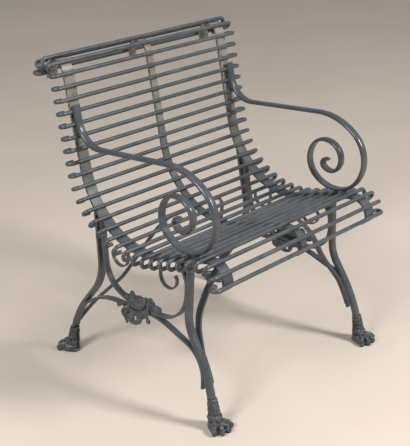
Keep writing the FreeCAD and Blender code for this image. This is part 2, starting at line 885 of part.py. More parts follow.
def bound(kind, name, place=(0.0, 0.0, 0.0), **sizes):
    """A primitive whose sizes are bound to the sheet, at a place."""
    shape = doc.addObject(kind, name)
    for key, formula in sizes.items():
        shape.setExpression(key, formula)
    shape.Placement = Placement(Vector(*place), Rotation())
    return shape


def paw_shape():
    """A lion's paw with a ring, a cuff and a collar round the end of a leg. Its toes point to the front."""
    ring = bound("Part::Cylinder", "paw_ring", Radius="sizes.paw_ring_radius", Height="sizes.paw_ring_height")
    ring.setExpression("Placement.Base.z", "sizes.paw_height - sizes.paw_ring_height")
    cuff = bound("Part::Cone", "paw_cuff", Radius1="sizes.cuff_bottom_radius", Radius2="sizes.cuff_top_radius",
                 Height="sizes.paw_height - sizes.instep_height - sizes.paw_ring_height / 2")
    collar = bound("Part::Cylinder", "paw_collar", Radius="sizes.collar_radius", Height="sizes.collar_height")
    for shape in (cuff, collar):
        shape.Placement = Placement(Vector(), Rotation(Vector(-1, 0, 0), 1))
        shape.setExpression("Placement.Rotation.Angle", "sizes.paw_tilt")
        shape.setExpression("Placement.Base.y", "-sizes.paw_step")
        shape.setExpression("Placement.Base.z", "sizes.instep_height - sizes.collar_height / 2")
    instep = bound("Part::Ellipsoid", "paw_instep", Radius1="sizes.instep_height",
                   Radius2="sizes.paw_width / 2",
                   Radius3="(sizes.paw_reach - sizes.toe_length / 2 + sizes.heel_reach) / 2")
    instep.setExpression("Placement.Base.y", "-sizes.paw_step"
                         " - (sizes.paw_reach - sizes.toe_length / 2 - sizes.heel_reach) / 2")
    parts = [ring, cuff, collar, instep]
    reach = size("paw_reach") - size("toe_length") / 2
    for number, place in enumerate(TOES, start=1):
        angle = math.radians(place * size("toe_fan"))
        toe = bound("Part::Ellipsoid", f"paw_toe_{number}", Radius1="sizes.toe_height",
                    Radius2="sizes.toe_width / 2", Radius3="sizes.toe_length / 2")
        spot = Vector(math.sin(angle) * reach, -size("paw_step") - reach * math.cos(angle), 0)
        toe.Placement = Placement(spot, Rotation(Vector(0, 0, 1), math.degrees(angle)))
        parts.append(toe)
    sole = bound("Part::Box", "paw_sole", Length="sizes.sole_width",
                 Width="sizes.paw_reach - sizes.toe_length / 2", Height="sizes.sole_thickness")
    sole.setExpression("Placement.Base.x", "-sizes.sole_width / 2")
    sole.setExpression("Placement.Base.y", "-sizes.paw_step - sizes.paw_reach + sizes.toe_length / 2")
    parts.append(sole)
    solid = doc.addObject("Part::MultiFuse", "paw_solid")
    solid.Shapes = parts
    floor = bound("Part::Box", "paw_floor", Length="4 * sizes.paw_reach", Width="4 * sizes.paw_reach",
                  Height="sizes.paw_height")
    floor.setExpression("Placement.Base.x", "-2 * sizes.paw_reach")
    floor.setExpression("Placement.Base.y", "-2 * sizes.paw_reach")
    floor.setExpression("Placement.Base.z", "-sizes.paw_height")
    cut = doc.addObject("Part::Cut", "paw")
    cut.Base = solid
    cut.Tool = floor
    return cut


def make_paw(name, leg, side, turn):
    """One paw under a leg, turned so that its toes point outwards."""
    ankle = leg[0].at(leg[0].length)[0]
    paw = doc.addObject("Part::Compound", name)
    paw.Links = [paw_model]
    paw.Placement = Placement(Vector(side * frame_x(ankle[1]), ankle[0], 0), Rotation(Vector(0, 0, 1), turn))
    keep(paw, name)


make_straps()
for slat_number in range(1, int(size("slat_count")) + 1):
    make_slat(slat_number)
make_arms()
lower_stretcher = make_stretchers()
make_medallions(max(stretch.start[1] for stretch in lower_stretcher.stretches))
paw_model = paw_shape()
for side_name, side_sign in SIDES:
    make_leg("front_leg_" + side_name, *front_leg, side_sign, -1)
    make_leg("rear_leg_" + side_name, *rear_leg, side_sign, 1)
    make_curl("front_curl_" + side_name, size("front_curl_y"), -1, side_sign)
    make_curl("rear_curl_" + side_name, size("rear_curl_y"), 1, side_sign)
    make_paw("front_paw_" + side_name, front_leg, side_sign, side_sign * size("front_paw_splay"))
    make_paw("rear_paw_" + side_name, rear_leg, side_sign, 180 - side_sign * size("rear_paw_splay"))
make_arch("front_arch", front_leg, 1)
make_arch("rear_arch", rear_leg, -1)

# Sets the middle of the chair's depth on the origin
doc.recompute()
box = FreeCAD.BoundBox()
for piece in pieces:
    box.add(piece.Shape.optimalBoundingBox(False))
middle = (box.YMin + box.YMax) / 2
for piece in pieces:
    # A mirrored piece follows the one that it mirrors
    if piece.TypeId != "Part::Mirroring":
        place = piece.Placement
        place.Base.y -= middle
        piece.Placement = place
print("box", [round(v, 1) for v in (box.XLength, box.YLength, box.ZLength)], "shift", round(middle, 2))

doc.recompute()
for item in doc.Objects:
    if "Invalid" in item.State or "Error" in item.State:
        raise RuntimeError(f"{item.Label} did not compute")
os.makedirs("parts", exist_ok=True)
for piece in pieces:
    if piece.Shape.isNull() or not piece.Shape.isValid():
        raise RuntimeError(f"{piece.Label} has no sound shape")
    piece.Shape.exportStep(f"parts/{piece.Label}.step")
print(len(pieces), "pieces")
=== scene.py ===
"""A garden armchair of painted iron, with its worn finish, its castings and a plain studio.

Sizes are in metres. X is the chair's width, the sitter faces -Y and Z is up from the floor.
"""

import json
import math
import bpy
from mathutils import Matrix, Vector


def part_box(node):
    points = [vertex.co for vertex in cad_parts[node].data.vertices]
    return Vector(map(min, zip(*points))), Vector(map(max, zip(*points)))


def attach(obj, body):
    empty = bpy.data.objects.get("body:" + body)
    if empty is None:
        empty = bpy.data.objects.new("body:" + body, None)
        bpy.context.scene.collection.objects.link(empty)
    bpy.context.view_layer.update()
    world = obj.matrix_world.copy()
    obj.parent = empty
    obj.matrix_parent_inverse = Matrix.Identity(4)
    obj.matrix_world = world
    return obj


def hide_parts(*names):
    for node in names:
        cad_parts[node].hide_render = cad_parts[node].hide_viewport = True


bl_info = {
    "name": "Iron Garden Armchair",
    "version": (1, 0, 0),
    "blender": (4, 5, 0),
    "location": "3D View > Sidebar > Armchair",
    "description": "Paints the armchair's bars and makes its paws, medallions and studio",
    "category": "Object",
}

from dataclasses import dataclass

import bmesh
import bpy
from bpy.props import FloatProperty, FloatVectorProperty, IntProperty, PointerProperty
from mathutils import Euler, Matrix, Vector

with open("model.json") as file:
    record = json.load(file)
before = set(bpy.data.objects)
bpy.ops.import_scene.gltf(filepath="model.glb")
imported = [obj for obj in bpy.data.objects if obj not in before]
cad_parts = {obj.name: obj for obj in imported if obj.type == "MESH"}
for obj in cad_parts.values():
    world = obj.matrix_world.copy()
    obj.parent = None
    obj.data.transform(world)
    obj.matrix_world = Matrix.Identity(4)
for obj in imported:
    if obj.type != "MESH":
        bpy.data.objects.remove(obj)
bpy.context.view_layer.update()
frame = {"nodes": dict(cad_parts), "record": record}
MM = 0.001


# Settings

class ArmchairPaint(bpy.types.PropertyGroup):
    """Colours of the paint, and how far it has worn."""

    coat: FloatVectorProperty(
        name="Coat", description="Slate blue paint", subtype="COLOR", size=4,
        default=(0.056, 0.066, 0.075, 1.0))
    # Also the colour of the painted highlight on a casting's edges
    faded_and_highlight: FloatVectorProperty(
        name="Faded", description="Paint that the weather has bleached", subtype="COLOR", size=4,
        default=(0.135, 0.145, 0.148, 1.0))
    strap_faded: FloatVectorProperty(
        name="Strap faded", description="Beige grey of the straps' weathered backs", subtype="COLOR",
        size=4, default=(0.30, 0.275, 0.225, 1.0))
    # Also the colour of the painted shade on undersides and in a casting's hollows
    soot_and_shade: FloatVectorProperty(
        name="Soot", description="Dirt in hollows and on undersides", subtype="COLOR", size=4,
        default=(0.018, 0.016, 0.014, 1.0))
    rust: FloatVectorProperty(
        name="Rust", description="Ochre rust", subtype="COLOR", size=4,
        default=(0.40, 0.25, 0.12, 1.0))
    rust_dark: FloatVectorProperty(
        name="Dark rust", description="Brown rust", subtype="COLOR", size=4,
        default=(0.11, 0.052, 0.026, 1.0))
    verdigris: FloatVectorProperty(
        name="Green stain", description="Greenish stain on the straps", subtype="COLOR", size=4,
        default=(0.17, 0.19, 0.12, 1.0))
    roughness: FloatProperty(
        name="Roughness", description="Roughness of sound paint", subtype="FACTOR",
        min=0.0, max=1.0, default=0.31)
    grain: FloatProperty(
        name="Grain", description="Depth of the brushed paint's grain", subtype="DISTANCE",
        min=0.0, max=0.002, default=0.0002)
    casting_grain: FloatProperty(
        name="Casting grain", description="Depth of the castings' fine ornament", subtype="DISTANCE",
        min=0.0, max=0.005, default=0.0016)


class ArmchairCastings(bpy.types.PropertyGroup):
    """Sizes of the paws and medallions."""

    grid: FloatProperty(
        name="Grid", description="Grain of the castings' surface", subtype="DISTANCE",
        min=0.0005, max=0.004, default=0.0009)
    toe_fan: FloatProperty(
        name="Toe fan", description="Angle between two toes", subtype="ANGLE",
        min=0.0, max=0.6, default=math.radians(29.0))
    toe_reach: FloatProperty(
        name="Toe reach", description="From the middle of the foot to the front of its toes",
        subtype="DISTANCE", min=0.02, max=0.08, default=0.043)
    tufts: IntProperty(
        name="Tufts", description="Locks of hair in one row round a cuff", min=3, max=30, default=12)
    shell_ribs: IntProperty(
        name="Shell ribs", description="Ribs of a medallion's shell", min=3, max=25, default=13)


class ArmchairStage(bpy.types.PropertyGroup):
    """The floor, the lamps and the camera."""

    floor_colour: FloatVectorProperty(
        name="Floor", description="Pale floor", subtype="COLOR", size=4,
        default=(0.80, 0.685, 0.585, 1.0))
    floor_radius: FloatProperty(
        name="Floor radius", description="Half the floor's side", subtype="DISTANCE",
        min=1.0, max=50.0, default=14.0)
    sky: FloatProperty(
        name="Sky", description="Strength of the light from all round", min=0.0, max=5.0, default=0.30)
    key_power: FloatProperty(
        name="Key", description="Power of the main lamp", subtype="POWER", min=0.0, default=108.0)
    fill_power: FloatProperty(
        name="Fill", description="Power of the softer lamp", subtype="POWER", min=0.0, default=60.0)
    eye: FloatVectorProperty(
        name="Camera", description="Place of the camera", subtype="TRANSLATION", size=3,
        default=(-1.7273, -1.6216, 1.3764))
    yaw: FloatProperty(
        name="Yaw", description="Turn of the view from straight back towards +X", subtype="ANGLE",
        default=math.radians(46.18))
    pitch: FloatProperty(
        name="Pitch", description="Angle of the view below level", subtype="ANGLE",
        default=math.radians(23.54))
    focal_widths: FloatProperty(
        name="Focal length", description="Focal length as a multiple of the picture's width",
        min=0.5, max=10.0, default=2.526)


# Shader and geometry trees

class Wire:
    """An output of a node. Arithmetic on it adds Math nodes."""

    def __init__(self, graph, socket):
        self.graph = graph
        self.socket = socket

    def _math(self, operation, first, second):
        return self.graph.node("ShaderNodeMath", {"operation": operation}, {0: first, 1: second})

    def __add__(self, other):
        return self._math("ADD", self, other)

    __radd__ = __add__

    def __sub__(self, other):
        return self._math("SUBTRACT", self, other)

    def __rsub__(self, other):
        return self._math("SUBTRACT", other, self)

    def __mul__(self, other):
        return self._math("MULTIPLY", self, other)

    __rmul__ = __mul__

    def largest(self, other):
        return self._math("MAXIMUM", self, other)

    def rise(self, low, high):
        """0 below low, 1 above high and smooth between them."""
        return self.graph.node(
            "ShaderNodeMapRange", {"interpolation_type": "SMOOTHSTEP"},
            {"Value": self, "From Min": low, "From Max": high})


@dataclass
class Clouds:
    """Soft noise, with its scale in patches to the metre."""

    scale: float
    detail: float
    roughness: float
    seed: float = 0.0


class Graph:
    """A node tree that is built from node types, settings and inputs."""

    def __init__(self, tree):
        self.tree = tree

    def node(self, kind, settings=None, inputs=None, out=0):
        """Adds a node and returns one of its outputs, or the node if it has none."""
        node = self.tree.nodes.new(kind)
        for key, value in (settings or {}).items():
            setattr(node, key, value)
        for key, value in (inputs or {}).items():
            self.feed(node, key, value)
        return Wire(self, node.outputs[out]) if len(node.outputs) else node

    def feed(self, node, key, value):
        """Links a wire to an input, or sets the input's own value."""
        if isinstance(value, Wire):
            self.tree.links.new(value.socket, node.inputs[key])
        else:
            node.inputs[key].default_value = value

    def along(self, vector, axis):
        """One axis of a vector."""
        return self.node("ShaderNodeSeparateXYZ", {}, {0: vector}, out=axis)

    def blend(self, share, first, second):
        """First colour where the share is 0, second colour where it is 1."""
        return self.node("ShaderNodeMix", {"data_type": "RGBA"}, {0: share, 6: first, 7: second}, out=2)

    def clouds(self, place, noise):
        """Soft noise from 0 to 1 over a place."""
        return self.node("ShaderNodeTexNoise", {"noise_dimensions": "4D"}, {
            "Vector": place, "W": noise.seed, "Scale": noise.scale,
            "Detail": noise.detail, "Roughness": noise.roughness})


def empty_graph(owner):
    """The emptied node tree of a material or a world."""
    owner.use_nodes = True
    owner.node_tree.nodes.clear()
    return Graph(owner.node_tree)


# Worn paint, with painted shade and painted highlights

@dataclass
class Finish:
    """How one family of pieces has worn. Shares run from 0 to 1."""

    name: str
    fade: float
    rust: float
    # How strongly painted shade and dirt darken undersides and a casting's hollows
    soot_and_shade: float
    cast: bool = False
    strap: bool = False
    gloss: float = 0.0


FINISHES = {
    "rods": Finish("rod paint", fade=0.40, rust=0.20, soot_and_shade=0.55),
    "straps": Finish("strap paint", fade=0.45, rust=0.45, soot_and_shade=0.55, strap=True),
    "arms": Finish("arm paint", fade=0.30, rust=0.10, soot_and_shade=0.35, gloss=0.08),
    "legs": Finish("leg paint", fade=0.25, rust=0.20, soot_and_shade=0.40, gloss=0.04),
    "braces": Finish("brace paint", fade=0.20, rust=0.25, soot_and_shade=0.60),
    "medallions": Finish("medallion paint", fade=0.35, rust=0.15, soot_and_shade=0.95, cast=True, gloss=0.06),
    "paws": Finish("paw paint", fade=0.30, rust=0.20, soot_and_shade=0.95, cast=True, gloss=0.06),
}

# Noise that places the wear, from wide patches to fine grain
PATCHES = Clouds(9.0, 4.0, 0.60)
REGIONS = Clouds(14.0, 2.0, 0.50, seed=5.0)
STREAKS = Clouds(45.0, 5.0, 0.65, seed=2.0)
SPECKS = Clouds(160.0, 6.0, 0.70, seed=7.0)
MOTTLE = Clouds(170.0, 3.0, 0.60, seed=17.0)
ORNAMENT = Clouds(230.0, 2.0, 0.55, seed=13.0)
GRAIN = Clouds(420.0, 3.0, 0.60, seed=11.0)

# Noise levels from which each kind of wear sets in, and at which it is full
FADE_LEVELS = (0.42, 0.62)
BLEACH_LEVELS = (0.30, 0.52)
STAIN_LEVELS = (0.40, 0.55)
SOOT_LEVELS = (0.35, 0.60)
MOTTLE_LEVELS = (0.48, 0.62)
# Streaks in the painted shade and dirt on undersides
SHADE_AND_GRIME_LEVELS = (0.30, 0.60)
REGION_LEVELS = (0.50, 0.66)
BARE_LEVELS = (0.40, 0.58)
RUST_TONES = (0.35, 0.70)
RUBBED_AND_LIT_LEVELS = (0.40, 0.60)

# Noise levels at which rust starts and is full, and how far both drop on a rusty finish
RUST_START = 0.60
RUST_START_DROP = 0.12
RUST_FULL = 0.72
RUST_FULL_DROP = 0.10
RUST_GAIN = 2.0

# How far a face looks up, from -1 to 1, where the sun fades it and where painted shade and dirt darken its
# underside
SUNNY = (0.10, 0.95)
UNDERSIDE_SHADE = (-0.75, 0.15)

# Heights at which the straps are bleached, stained and bare
BLEACH_HEIGHTS = (0.45, 0.62)
STAIN_FOOT = (0.38, 0.44)
STAIN_HEAD = (0.46, 0.54)
BARE_HEIGHTS = (0.60, 0.76)
MIDDLE_STRAP_EDGE = (0.011 ** 2, 0.014 ** 2)

# How strongly each kind of wear shows
PATCH_SHARE = 0.6
STREAK_SHARE = 0.4
SUN_SHARE = 0.5
BLEACH_SHARE = 0.85
STAIN_SHARE = 0.4
SOOT_SHARE = 0.35
MOTTLE_SHARE = 0.8
# Painted shade and dirt on undersides: their streaked part, and the least of them
SHADE_AND_GRIME_STREAKS = 0.6
SHADE_AND_GRIME_LEAST = 0.4
BARE_SHARE = 0.7
# Pale edges of a casting: rubbed paint and painted highlight
RUBBED_AND_LIT_SHARE = 0.6

# A casting's hollows get painted shade within this reach, and its edges get rubbed paint and a painted
# highlight within this radius
HOLLOW = 0.010
HOLLOW_LEVELS = (0.10, 0.60)
HOLLOW_SAMPLES = 8
WORN_AND_LIT_EDGE = 0.0012
EDGE_LEVELS = (0.02, 0.16)
EDGE_SAMPLES = 4

# What wear adds to the roughness and to the relief
STREAK_ROUGHNESS = 0.30
RUST_ROUGHNESS = 0.35
# Extra roughness where the painted shade and dirt lie
SHADE_AND_GRIME_ROUGHNESS = 0.20
NOISE_MIDDLE = 0.5
GRAIN_RELIEF = 0.5
STREAK_RELIEF = 0.8
RUST_RELIEF = 1.5
ORNAMENT_RELIEF = 1.6
BUMP_STRENGTH = 0.6
PAINT_SPECULAR = 0.5


class Spot:
    """Where a spot of the surface is, which way it faces, and its shared noise."""

    def __init__(self, graph):
        self.graph = graph
        self.place = graph.node("ShaderNodeTexCoord", out="Object")
        self.facing = graph.node("ShaderNodeNewGeometry", out="Normal")
        self.upward = graph.along(self.facing, "Z")
        self.height = graph.along(self.place, "Z")
        self.across = graph.along(self.place, "X")
        self.patches = graph.clouds(self.place, PATCHES)
        self.streaks = graph.clouds(self.place, STREAKS)
        self.specks = graph.clouds(self.place, SPECKS)


def faded_coat(spot, finish, paint):
    """The coat, bleached in patches and where it faces the sun."""
    weather = spot.patches * PATCH_SHARE + spot.streaks * STREAK_SHARE
    fade = weather.rise(*FADE_LEVELS) * finish.fade
    fade = fade + spot.upward.rise(*SUNNY) * (finish.fade * SUN_SHARE)
    return spot.graph.blend(fade, tuple(paint.coat), tuple(paint.faded_and_highlight))


def weathered_strap(spot, colour, paint):
    """Bleaches the straps up the back, and stains them green below that."""
    bleached = spot.height.rise(*BLEACH_HEIGHTS) * spot.streaks.rise(*BLEACH_LEVELS) * BLEACH_SHARE
    colour = spot.graph.blend(bleached, colour, tuple(paint.strap_faded))
    low_back = spot.height.rise(*STAIN_FOOT) * (1.0 - spot.height.rise(*STAIN_HEAD))
    stained = low_back * spot.patches.rise(*STAIN_LEVELS) * STAIN_SHARE
    return spot.graph.blend(stained, colour, tuple(paint.verdigris))


def mottled_casting(spot, colour, paint):
    """Darkens a casting in patches, and fades small spots of it."""
    sooty = spot.patches.rise(*SOOT_LEVELS) * SOOT_SHARE
    colour = spot.graph.blend(sooty, colour, tuple(paint.soot_and_shade))
    mottle = spot.graph.clouds(spot.place, MOTTLE)
    return spot.graph.blend(mottle.rise(*MOTTLE_LEVELS) * MOTTLE_SHARE, colour, tuple(paint.faded_and_highlight))


def shade_and_grime_share(spot, finish):
    """Share of painted shade on undersides and in a casting's hollows, streaked with dirt."""
    under = 1.0 - spot.upward.rise(*UNDERSIDE_SHADE)
    shade_and_grime = under * (spot.streaks.rise(*SHADE_AND_GRIME_LEVELS) * SHADE_AND_GRIME_STREAKS + SHADE_AND_GRIME_LEAST) * finish.soot_and_shade
    if finish.cast:
        # Painted shade in a casting's hollows, from how enclosed the surface is
        open_air = spot.graph.node(
            "ShaderNodeAmbientOcclusion", {"samples": HOLLOW_SAMPLES}, {"Distance": HOLLOW}, out="AO")
        shade_and_grime = shade_and_grime.largest((1.0 - open_air).rise(*HOLLOW_LEVELS) * finish.soot_and_shade)
    return shade_and_grime


def rust_share(spot, finish):
    """Share of rust: specks in some regions, and bare iron up the middle strap."""
    region = spot.graph.clouds(spot.place, REGIONS).rise(*REGION_LEVELS)
    start = RUST_START - RUST_START_DROP * finish.rust
    full = RUST_FULL - RUST_FULL_DROP * finish.rust
    rusted = region * spot.specks.rise(start, full) * finish.rust * RUST_GAIN
    if finish.strap:
        middle_strap = 1.0 - (spot.across * spot.across).rise(*MIDDLE_STRAP_EDGE)
        bare = middle_strap * spot.height.rise(*BARE_HEIGHTS) * spot.streaks.rise(*BARE_LEVELS)
        rusted = rusted.largest(bare * BARE_SHARE)
    return spot.graph.node("ShaderNodeClamp", {}, {0: rusted})


def rubbed_and_lit_edges(spot, colour, paint):
    """Lightens the edges of a casting: paint rubbed off there, and a painted highlight."""
    rounded = spot.graph.node("ShaderNodeBevel", {"samples": EDGE_SAMPLES}, {"Radius": WORN_AND_LIT_EDGE})
    level = spot.graph.node(
        "ShaderNodeVectorMath", {"operation": "DOT_PRODUCT"}, {0: rounded, 1: spot.facing}, out="Value")
    rubbed_and_lit = (1.0 - level).rise(*EDGE_LEVELS) * spot.streaks.rise(*RUBBED_AND_LIT_LEVELS) * RUBBED_AND_LIT_SHARE
    return spot.graph.blend(rubbed_and_lit, colour, tuple(paint.faded_and_highlight))


def brushed_normal(spot, finish, paint, rusted):
    """The normal over the brush marks, the rust and a casting's finest ornament."""
    grain = spot.graph.clouds(spot.place, GRAIN)
    relief = grain * GRAIN_RELIEF + spot.streaks * STREAK_RELIEF + rusted * (spot.specks * RUST_RELIEF)
    depth = paint.grain
    if finish.cast:
        # Hair, scales and ribs too fine for the casting's own shape
        relief = relief + spot.graph.clouds(spot.place, ORNAMENT) * ORNAMENT_RELIEF
        depth = paint.casting_grain
    return spot.graph.node("ShaderNodeBump", {}, {
        "Strength": BUMP_STRENGTH, "Distance": depth, "Height": relief})


def worn_paint(finish, paint):
    """Slate blue paint that has faded and rusted, with painted shade and dirt below and in hollows, and
    painted highlights on a casting's edges.
    """
    material = bpy.data.materials.new(finish.name)
    graph = empty_graph(material)
    spot = Spot(graph)
    colour = faded_coat(spot, finish, paint)
    if finish.strap:
        colour = weathered_strap(spot, colour, paint)
    if finish.cast:
        colour = mottled_casting(spot, colour, paint)
    # Painted shade and dirt darken undersides and a casting's hollows
    shade_and_grime = shade_and_grime_share(spot, finish)
    colour = graph.blend(shade_and_grime, colour, tuple(paint.soot_and_shade))
    rusted = rust_share(spot, finish)
    rust = graph.blend(spot.specks.rise(*RUST_TONES), tuple(paint.rust_dark), tuple(paint.rust))
    colour = graph.blend(rusted, colour, rust)
    # Pale edges on a casting, partly painted highlight
    if finish.cast:
        colour = rubbed_and_lit_edges(spot, colour, paint)
    sheen = paint.roughness - finish.gloss + (spot.streaks - NOISE_MIDDLE) * STREAK_ROUGHNESS
    roughness = sheen + rusted * RUST_ROUGHNESS + shade_and_grime * SHADE_AND_GRIME_ROUGHNESS
    shader = graph.node("ShaderNodeBsdfPrincipled", {}, {
        "Base Color": colour, "Roughness": roughness,
        "Normal": brushed_normal(spot, finish, paint, rusted), "Specular IOR Level": PAINT_SPECULAR})
    graph.node("ShaderNodeOutputMaterial", {}, {"Surface": shader})
    return material


def finish_of(slot):
    """The slot's material, made the first time that it is asked for."""
    finish = FINISHES[slot]
    return bpy.data.materials.get(finish.name) or worn_paint(finish, bpy.context.scene.armchair_paint)


# Shapes

BALL_ROUNDS = 3
SMOOTH_STEPS = 6
RELAX_SHARE = 0.5
RELAX_ROUNDS = 2


def new_object(name, data):
    """A new object in the scene."""
    item = bpy.data.objects.new(name, data)
    bpy.context.scene.collection.objects.link(item)
    return item


def new_mesh(name, shape):
    """A mesh of a shape, which is used up."""
    mesh = bpy.data.meshes.new(name)
    shape.to_mesh(mesh)
    shape.free()
    return mesh


def new_piece(name, mesh, slot):
    """Links a mesh as a piece of the chair, in the slot's finish."""
    piece = new_object(name, mesh)
    mesh.materials.clear()
    mesh.materials.append(finish_of(slot))
    for face in mesh.polygons:
        face.use_smooth = True
        face.material_index = 0
    return piece


def add_ball(shape, centre, radii, turn=(0.0, 0.0, 0.0)):
    """Adds an ellipsoid."""
    place = Matrix.LocRotScale(Vector(centre), Euler(turn), Vector(radii))
    bmesh.ops.create_icosphere(shape, subdivisions=BALL_ROUNDS, radius=1.0, matrix=place)


def add_tube(shape, points, radii, sides=12, flat=1.0):
    """Adds a round bar along the points, with a radius at each. Flat thins it along X."""
    count = len(points)
    points = [Vector(point) for point in points]
    rings = []
    side = None
    for number, point in enumerate(points):
        ahead = points[min(number + 1, count - 1)] - points[max(number - 1, 0)]
        ahead.normalize()
        guess = side or Vector((1.0, 0.0, 0.0))
        side = (guess - ahead * guess.dot(ahead)).normalized()
        other = ahead.cross(side)
        ring = []
        for step in range(sides):
            angle = 2 * math.pi * step / sides
            offset = side * math.cos(angle) * flat + other * math.sin(angle)
            ring.append(shape.verts.new(point + offset * radii[number]))
        rings.append(ring)
    for first, second in zip(rings, rings[1:]):
        for step in range(sides):
            after = (step + 1) % sides
            shape.faces.new((first[step], first[after], second[after], second[step]))
    shape.faces.new(list(reversed(rings[0])))
    shape.faces.new(rings[-1])


def smooth_line(points):
    """More points along a smooth curve through the given ones."""
    result = []
    last = len(points) - 1
    for number in range(last):
        before = points[max(number - 1, 0)]
        start = points[number]
        end = points[number + 1]
        after = points[min(number + 2, last)]
        for step in range(SMOOTH_STEPS):
            share = step / SMOOTH_STEPS
            line = 2 * start + (end - before) * share
            bend = (2 * before - 5 * start + 4 * end - after) * share * share
            twist = (3 * start - before - 3 * end + after) * share ** 3
            result.append(0.5 * (line + bend + twist))
    return result + [points[-1]]


def smooth_sizes(sizes):
    """As many sizes as smooth_line gives points."""
    result = []
    for first, second in zip(sizes, sizes[1:]):
        result += [first + (second - first) * step / SMOOTH_STEPS for step in range(SMOOTH_STEPS)]
    return result + [sizes[-1]]


def evaluated(piece):
    """The mesh of an object with its modifiers, as a new mesh."""
    graph = bpy.context.evaluated_depsgraph_get()
    return bpy.data.meshes.new_from_object(piece.evaluated_get(graph))


def cast_mesh(shape, grid):
    """Melts overlapping forms into one closed skin, as a casting has."""
    bmesh.ops.recalc_face_normals(shape, faces=shape.faces)
    mesh = new_mesh("casting", shape)
    blank = new_object("casting", mesh)
    melt = blank.modifiers.new("melt", "REMESH")
    melt.mode = "VOXEL"
    melt.voxel_size = grid
    relax = blank.modifiers.new("relax", "SMOOTH")
    relax.factor = RELAX_SHARE
    relax.iterations = RELAX_ROUNDS
    result = evaluated(blank)
    bpy.data.objects.remove(blank)
    bpy.data.meshes.remove(mesh)
    return result


# Geometry Nodes that repeat a bead round a ring

RING_TREE = "Ring of Beads"


def add_input(tree, name, kind, default=None):
    """Adds a named input to a tree."""
    socket = tree.interface.new_socket(name, in_out="INPUT", socket_type=kind)
    if default is not None:
        socket.default_value = default


def ring_tree():
    """Beads round a level ring. Each bead's own X points outwards."""
    tree = bpy.data.node_groups.new(RING_TREE, "GeometryNodeTree")
    tree.interface.new_socket("Geometry", in_out="OUTPUT", socket_type="NodeSocketGeometry")
    add_input(tree, "Count", "NodeSocketInt", 8)
    add_input(tree, "Ring Radius", "NodeSocketFloat", 0.012)
    add_input(tree, "Turn", "NodeSocketFloat", 0.0)
    add_input(tree, "Lean", "NodeSocketFloat", 0.0)
    add_input(tree, "Bead Size", "NodeSocketVector")
    add_input(tree, "Paint", "NodeSocketMaterial")
    graph = Graph(tree)
    given = tree.nodes.new("NodeGroupInput")

    def asked(name):
        return Wire(graph, given.outputs[name])

    ring = graph.node("GeometryNodeMeshCircle", {}, {
        "Vertices": asked("Count"), "Radius": asked("Ring Radius")})
    turn = graph.node("ShaderNodeCombineXYZ", {}, {"Z": asked("Turn")})
    ring = graph.node("GeometryNodeTransform", {}, {"Geometry": ring, "Rotation": turn})
    bead = graph.node("GeometryNodeMeshIcoSphere", {}, {"Radius": 1.0, "Subdivisions": BALL_ROUNDS})
    outwards = graph.node("GeometryNodeInputPosition")
    facing = graph.node("FunctionNodeAlignRotationToVector", {"axis": "X"}, {"Vector": outwards})
    lean = graph.node("ShaderNodeCombineXYZ", {}, {"Y": asked("Lean")})
    facing = graph.node("FunctionNodeRotateRotation", {"rotation_space": "LOCAL"},
                        {"Rotation": facing, "Rotate By": lean})
    beads = graph.node("GeometryNodeInstanceOnPoints", {}, {
        "Points": ring, "Instance": bead, "Rotation": facing, "Scale": asked("Bead Size")})
    solid = graph.node("GeometryNodeRealizeInstances", {}, {"Geometry": beads})
    painted = graph.node("GeometryNodeSetMaterial", {}, {"Geometry": solid, "Material": asked("Paint")})
    graph.node("NodeGroupOutput", {}, {0: painted})
    return tree


def add_ring(shape, place, inputs):
    """Adds a ring of beads at a place. The inputs are named as in the ring's tree."""
    tree = bpy.data.node_groups.get(RING_TREE) or ring_tree()
    start = bpy.data.meshes.new("start")
    carrier = new_object("carrier", start)
    modifier = carrier.modifiers.new("beads", "NODES")
    modifier.node_group = tree
    for item in tree.interface.items_tree:
        if item.in_out == "INPUT" and item.name in inputs:
            modifier[item.identifier] = inputs[item.name]
    beads = evaluated(carrier)
    bpy.data.objects.remove(carrier)
    beads.transform(place)
    shape.from_mesh(beads)
    bpy.data.meshes.remove(beads)
    bpy.data.meshes.remove(start)


# Paws, with the ankle over the origin and the toes towards -Y

SIDES = (("left", 1.0), ("right", -1.0))

# How far the paw steps out from under the leg, and the sizes that lead from the CAD's boxes to the ankle
PAW_STEP = 0.010
LEG_HALF_WIDTH = 0.0105
RING_RADIUS = 0.0125

# Which way each end's paws point, and how many degrees they splay
PAW_ENDS = (("front", 0.0, 5.0), ("rear", math.pi, -7.0))

# The cuff: heights of its ends, sections of its tube, and its radius, which swells towards the foot
CUFF_TOP = 0.073
CUFF_BOTTOM = 0.027
CUFF_LID = 0.001
CUFF_STEP = 0.0065
CUFF_STEPS = 9
CUFF_SIDES = 24
CUFF_THIN = 0.0092
CUFF_SWELL = 0.0028
CUFF_SWELL_RATE = 1.3

# Beads round the cuff's top
CROWN_DROP = 0.0035
CROWN = {"Count": 11, "Ring Radius": 0.0100, "Bead Size": (0.0024, 0.0032, 0.0033)}

# Locks of hair in rows down the cuff, which wander from row to row
TUFT_ROWS = 6
TUFT_DROP = 0.0095
TUFT_STEP = 0.0063
TUFT_STANDS_OUT = 0.0006
TUFT_WANDER = 0.3
TUFT_WANDER_RATE = 5.0
TUFT_LEAN = math.radians(-24.0)
TUFT_SIZE = (0.0022, 0.0021, 0.0058)

# Height over the cuff's foot, radius and thickness of each ring of the collar
COLLARS = ((0.0035, 0.0150, 0.0027), (-0.0015, 0.0158, 0.0023))
COLLAR_BEADS = 36
COLLAR_BEAD_LENGTH = 0.0026
COLLAR_SLOPE = math.radians(-4.0)

# A spur on each side of the collar
SPUR_RISE = 0.003
SPUR_OUT = 0.0150
SPUR_BACK = 0.006
SPUR_UP = 0.001
SPUR_RADII = (0.0034, 0.0034, 0.0030)

